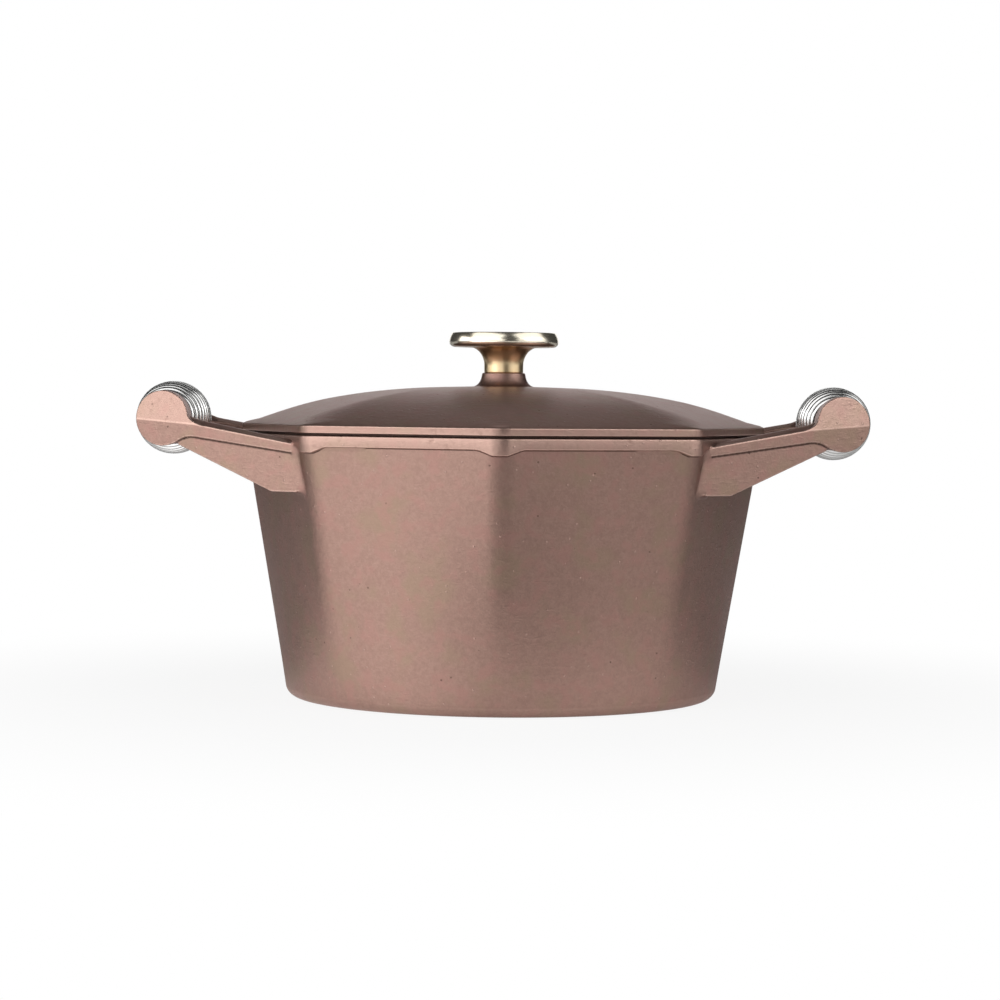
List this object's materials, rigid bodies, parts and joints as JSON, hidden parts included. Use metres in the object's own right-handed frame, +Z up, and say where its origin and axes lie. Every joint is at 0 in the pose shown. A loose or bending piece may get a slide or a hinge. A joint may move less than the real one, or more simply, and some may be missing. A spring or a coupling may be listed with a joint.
{
  "type": "dutch oven",
  "caption": "Octagonal cast-iron dutch oven with a round base, a faceted domed lid that lifts off by a brass knob, and coil-wrapped side grips on cast arms.",
  "frame": {"origin": "centre of the pot's flat base, on the surface it stands on", "axes": "+X through the two grips, +Z up along the axis of the pot, lid and knob"},
  "size_m": [0.3636, 0.2592, 0.18],
  "materials": {
    "pot_iron": "fine sand-cast grain, seasoned to a copper brown, satin",
    "lid_iron": "fine sand-cast grain, seasoned to a copper brown, satin",
    "knob_brass": "turned and polished",
    "coil_steel": "bright drawn stainless wire",
    "bar_steel": "plain dark steel rod",
    "screw_steel": "plain stainless"
  },
  "bodies": {
    "pot": {"pot_casting": "pot_iron", "left_grip_bar": "bar_steel", "right_grip_bar": "bar_steel", "left_grip_coil": "coil_steel", "right_grip_coil": "coil_steel"},
    "lid": {"lid_casting": "lid_iron", "lid_knob": "knob_brass", "knob_screw": "screw_steel", "knob_washer": "screw_steel"}
  },
  "joints": [
    {"name": "lid_lift", "type": "slide", "parent": "pot", "child": "lid", "axis": [0, 0, 1], "range_m": [0, 0.16]}
  ]
}
